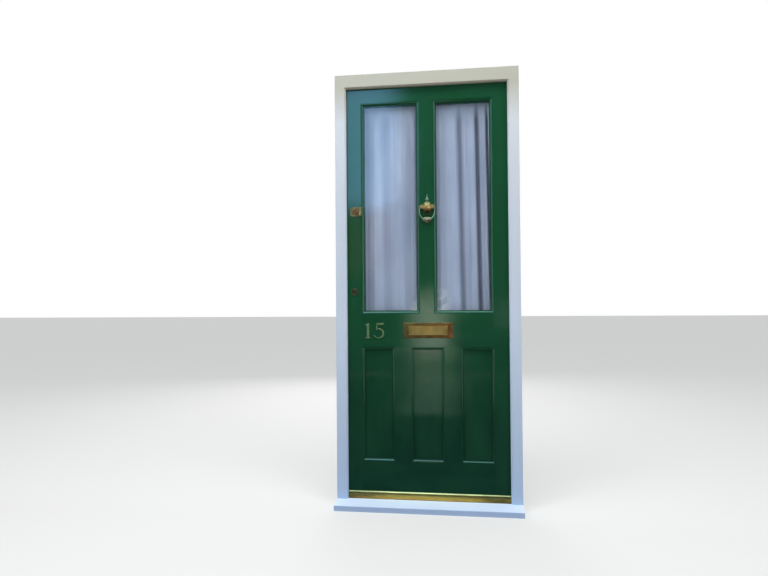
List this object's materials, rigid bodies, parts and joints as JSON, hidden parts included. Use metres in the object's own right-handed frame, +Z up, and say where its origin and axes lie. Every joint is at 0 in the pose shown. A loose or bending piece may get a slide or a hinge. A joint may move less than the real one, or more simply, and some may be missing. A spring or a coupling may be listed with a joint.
{
  "type": "panelled front door with frame",
  "caption": "Painted timber front door: moulded stiles and rails, glazed upper lights with net curtains, flat lower panels, brass furniture, rebated frame with sill.",
  "frame": {"origin": "middle of the underside of the sill, in line with the outer face of the frame", "axes": "+X to the right seen from the street, +Y into the house, +Z up"},
  "size_m": [0.905, 0.1963, 2.1435],
  "materials": {
    "white_paint": "white gloss paint on softwood",
    "green_paint": "deep green gloss paint on timber",
    "clear_glass": "clear laminated sheet",
    "dull_brass": "weathered brass",
    "bright_brass": "brass kept brighter by use",
    "inside_brass": "satin brass",
    "gold_strip": "gold anodised extrusion",
    "seal_rubber": "black rubber",
    "latch_enamel": "bronze stove enamel",
    "hinge_steel": "plated steel",
    "net_cloth": "white voile",
    "rod_metal": "white coated rod"
  },
  "bodies": {
    "frame": {"frame_head": "white_paint", "lock_jamb": "white_paint", "hinge_jamb": "white_paint", "sill": "white_paint", "threshold_strip": "gold_strip", "threshold_seal": "seal_rubber", "frame_seal": "seal_rubber", "latch_keep": "latch_enamel", "deadlock_strike": "inside_brass", "bottom_frame_hinge_flap": "hinge_steel", "middle_frame_hinge_flap": "hinge_steel", "top_frame_hinge_flap": "hinge_steel", "bottom_hinge_pin": "hinge_steel", "middle_hinge_pin": "hinge_steel", "top_hinge_pin": "hinge_steel", "frame_screws": "hinge_steel"},
    "leaf": {"lock_stile": "green_paint", "hinge_stile": "green_paint", "top_rail": "green_paint", "lock_rail": "green_paint", "bottom_rail": "green_paint", "glazing_muntin": "green_paint", "left_panel_muntin": "green_paint", "right_panel_muntin": "green_paint", "left_panel": "green_paint", "middle_panel": "green_paint", "right_panel": "green_paint", "left_glass": "clear_glass", "right_glass": "clear_glass", "left_glazing_beads": "green_paint", "right_glazing_beads": "green_paint", "letter_plate": "dull_brass", "inner_letter_frame": "inside_brass", "through_bolts": "hinge_steel", "knocker_urn": "dull_brass", "knocker_stud": "dull_brass", "cylinder_pull": "dull_brass", "rim_cylinder": "dull_brass", "nightlatch_case": "latch_enamel", "deadlock_case": "inside_brass", "outer_escutcheon": "dull_brass", "inner_escutcheon": "inside_brass", "bottom_leaf_hinge_flap": "hinge_steel", "middle_leaf_hinge_flap": "hinge_steel", "top_leaf_hinge_flap": "hinge_steel", "leaf_screws": "hinge_steel", "left_net": "net_cloth", "right_net": "net_cloth", "left_net_rod": "rod_metal", "right_net_rod": "rod_metal", "rod_brackets": "rod_metal"},
    "outer_flap": {"letter_flap": "bright_brass"},
    "inner_flap": {"inner_letter_flap": "inside_brass"},
    "ring": {"knocker_ring": "dull_brass"},
    "latch": {"latch_bolt": "inside_brass"},
    "knob": {"latch_knob": "inside_brass"},
    "plug": {"cylinder_plug": "dull_brass"},
    "snib": {"latch_snib": "inside_brass"},
    "lock_bolt": {"deadbolt": "inside_brass"}
  },
  "joints": [
    {"name": "leaf_swing", "type": "hinge", "parent": "frame", "child": "leaf", "pos_m": [0.408, 0.074, 1.0685], "axis": [0, 0, -1], "range_deg": [0, 95]},
    {"name": "outer_flap_push", "type": "hinge", "parent": "leaf", "child": "outer_flap", "pos_m": [0.004, 0.0262, 0.8915], "axis": [1, 0, 0], "range_deg": [0, 45], "stiffness_Nm_per_rad": 0.05, "springref_deg": -17.19},
    {"name": "inner_flap_lift", "type": "hinge", "parent": "leaf", "child": "inner_flap", "pos_m": [0.004, 0.0725, 0.8974], "axis": [1, 0, 0], "range_deg": [0, 85]},
    {"name": "ring_knock", "type": "hinge", "parent": "leaf", "child": "ring", "pos_m": [0.004, 0.013, 1.478], "axis": [-1, 0, 0], "range_deg": [0, 75]},
    {"name": "latch_throw", "type": "slide", "parent": "leaf", "child": "latch", "axis": [-1, 0, 0], "range_m": [0, 0.014]},
    {"name": "knob_turn", "type": "hinge", "parent": "leaf", "child": "knob", "pos_m": [-0.3535, 0.09, 1.461], "axis": [0, 1, 0], "range_deg": [0, 60]},
    {"name": "plug_turn", "type": "hinge", "parent": "leaf", "child": "plug", "pos_m": [-0.3535, 0.046, 1.461], "axis": [0, 1, 0], "range_deg": [0, 90]},
    {"name": "snib_slide", "type": "slide", "parent": "leaf", "child": "snib", "axis": [0, 0, 1], "range_m": [0, 0.006]},
    {"name": "deadbolt_throw", "type": "slide", "parent": "leaf", "child": "lock_bolt", "axis": [-1, 0, 0], "range_m": [0, 0.02]}
  ],
  "couplings": [
    {"joint": "knob_turn", "follows": "latch_throw", "rad_per_m": 74},
    {"joint": "plug_turn", "follows": "latch_throw", "rad_per_m": 110}
  ]
}
